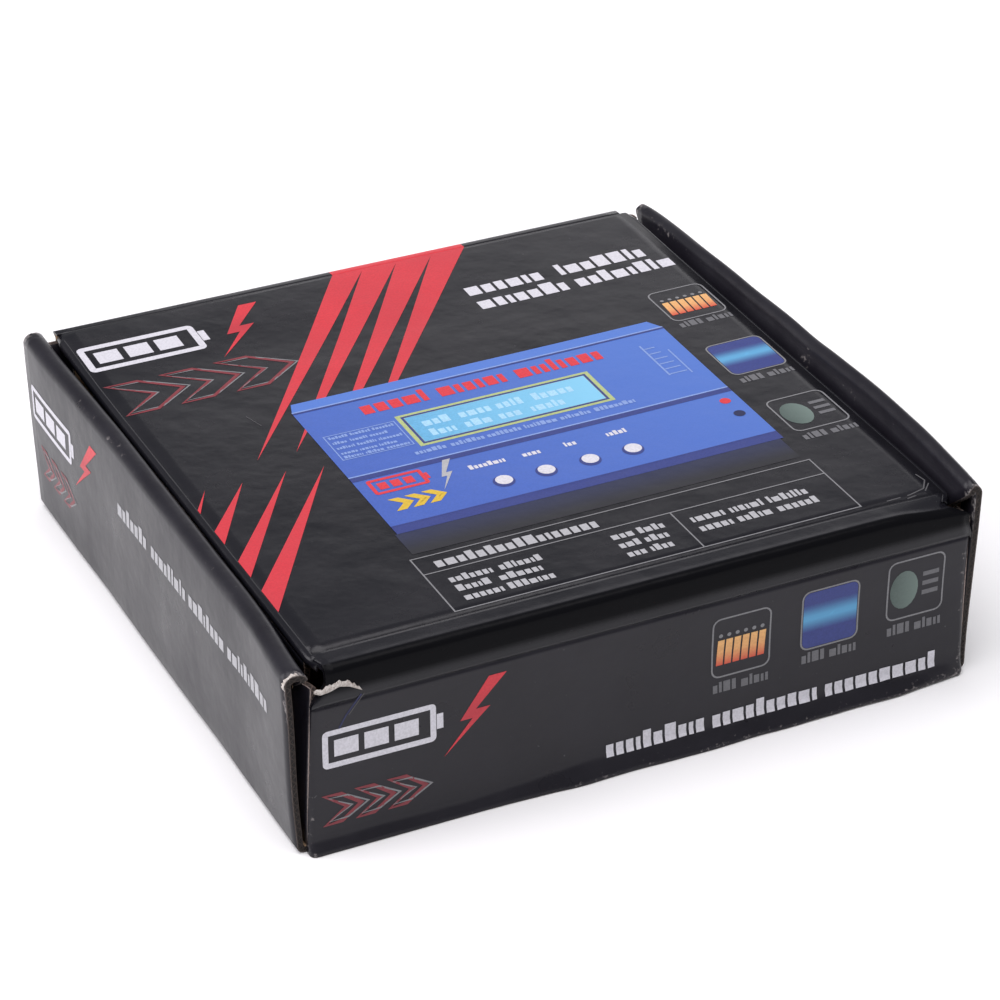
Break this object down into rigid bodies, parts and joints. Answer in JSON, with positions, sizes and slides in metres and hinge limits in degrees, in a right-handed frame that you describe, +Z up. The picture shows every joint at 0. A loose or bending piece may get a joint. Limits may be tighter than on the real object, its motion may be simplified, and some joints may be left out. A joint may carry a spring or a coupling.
{
  "type": "balance battery charger in its retail carton",
  "caption": "Printed corrugated mailer carton with a hinged tuck lid and rolled sides, holding a blue metal balance charger on a kraft insert.",
  "frame": {"origin": "middle of the carton's underside", "axes": "+X along the hinged wall, +Y from the hinged wall to the opening side, +Z up"},
  "size_m": [0.185, 0.186, 0.0515],
  "materials": {
    "printed_board": "black printed liner over corrugated board, soft sheen",
    "printed_lid": "black printed liner with red stripes and panels, soft sheen",
    "board_underside": "black printed liner, scuffed",
    "kraft_board": "plain brown kraft liner",
    "blue_case": "blue anodised, satin",
    "face_film": "printed film",
    "display_frame": "yellow-green gloss",
    "display_lens": "clear lens",
    "display_screen": "cyan liquid crystal",
    "key_plastic": "white moulded plastic",
    "black_plastic": "black moulded plastic",
    "circuit_board": "green solder mask",
    "bare_brass": "gold-plated",
    "bare_steel": "zinc-plated",
    "bare_aluminium": "mill finish",
    "copper_coil": "enamelled copper winding",
    "capacitor_sleeve": "shrink sleeve",
    "fuse_body": "amber body",
    "red_plastic": "red moulded plastic",
    "socket_plastic": "natural nylon",
    "foot_rubber": "black rubber"
  },
  "bodies": {
    "carton": {"base_panel": "board_underside", "spine_wall": "printed_board", "far_wall": "printed_board", "left_outer_wall": "printed_board", "right_outer_wall": "printed_board", "left_roll_top": "printed_board", "right_roll_top": "printed_board", "left_inner_wall": "printed_board", "right_inner_wall": "printed_board", "front_left_corner_tab": "printed_board", "front_right_corner_tab": "printed_board", "far_left_corner_tab": "printed_board", "far_right_corner_tab": "printed_board", "locking_tabs": "kraft_board", "insert_deck": "kraft_board", "insert_front_leg": "kraft_board", "insert_rear_leg": "kraft_board", "insert_cradle_front": "kraft_board", "insert_cradle_rear": "kraft_board", "case_top": "blue_case", "case_bottom": "blue_case", "end_plate_left": "blue_case", "end_plate_right": "blue_case", "face_label": "face_film", "display_bezel": "display_frame", "display_window": "display_lens", "display_module": "display_screen", "key_switches": "black_plastic", "key_board": "circuit_board", "main_board": "circuit_board", "board_standoffs": "bare_brass", "board_screws": "bare_steel", "heat_spreader": "bare_aluminium", "power_transistors": "black_plastic", "inductors": "copper_coil", "capacitors": "capacitor_sleeve", "control_chips": "black_plastic", "buzzer": "black_plastic", "fuse": "fuse_body", "output_sleeve_red": "red_plastic", "output_sleeve_black": "black_plastic", "output_contacts": "bare_brass", "balance_sockets": "socket_plastic", "balance_pins": "bare_brass", "sensor_socket": "black_plastic", "dc_input_jack": "black_plastic", "case_screws": "bare_steel", "rubber_feet": "foot_rubber"},
    "lid": {"lid_panel": "printed_lid", "lid_crease": "printed_lid"},
    "tuck_flap": {"lid_tuck_flap": "printed_lid"},
    "wing_left": {"lid_wing_left": "printed_lid"},
    "wing_right": {"lid_wing_right": "printed_lid"},
    "mode_key": {"key_mode": "key_plastic"},
    "down_key": {"key_down": "key_plastic"},
    "up_key": {"key_up": "key_plastic"},
    "start_key": {"key_start": "key_plastic"}
  },
  "joints": [
    {"name": "lid_hinge", "type": "hinge", "parent": "carton", "child": "lid", "pos_m": [0, -0.0922, 0.0504], "axis": [1, 0, 0], "range_deg": [0, 180]},
    {"name": "tuck_flap_crease", "type": "hinge", "parent": "lid", "child": "tuck_flap", "pos_m": [0, 0.0894, 0.0496], "axis": [-1, 0, 0], "range_deg": [0, 60], "stiffness_Nm_per_rad": 0.01, "springref_deg": -17.19},
    {"name": "left_wing_crease", "type": "hinge", "parent": "lid", "child": "wing_left", "pos_m": [-0.0834, 0, 0.0496], "axis": [0, -1, 0], "range_deg": [0, 35], "stiffness_Nm_per_rad": 0.01, "springref_deg": -17.19},
    {"name": "right_wing_crease", "type": "hinge", "parent": "lid", "child": "wing_right", "pos_m": [0.0834, 0, 0.0496], "axis": [0, 1, 0], "range_deg": [0, 35], "stiffness_Nm_per_rad": 0.01, "springref_deg": -17.19},
    {"name": "mode_key_press", "type": "slide", "parent": "carton", "child": "mode_key", "axis": [0, 0, -1], "range_m": [0, 0.0007], "stiffness_N_per_m": 300, "springref_m": -0.0004},
    {"name": "down_key_press", "type": "slide", "parent": "carton", "child": "down_key", "axis": [0, 0, -1], "range_m": [0, 0.0007], "stiffness_N_per_m": 300, "springref_m": -0.0004},
    {"name": "up_key_press", "type": "slide", "parent": "carton", "child": "up_key", "axis": [0, 0, -1], "range_m": [0, 0.0007], "stiffness_N_per_m": 300, "springref_m": -0.0004},
    {"name": "start_key_press", "type": "slide", "parent": "carton", "child": "start_key", "axis": [0, 0, -1], "range_m": [0, 0.0007], "stiffness_N_per_m": 300, "springref_m": -0.0004}
  ]
}
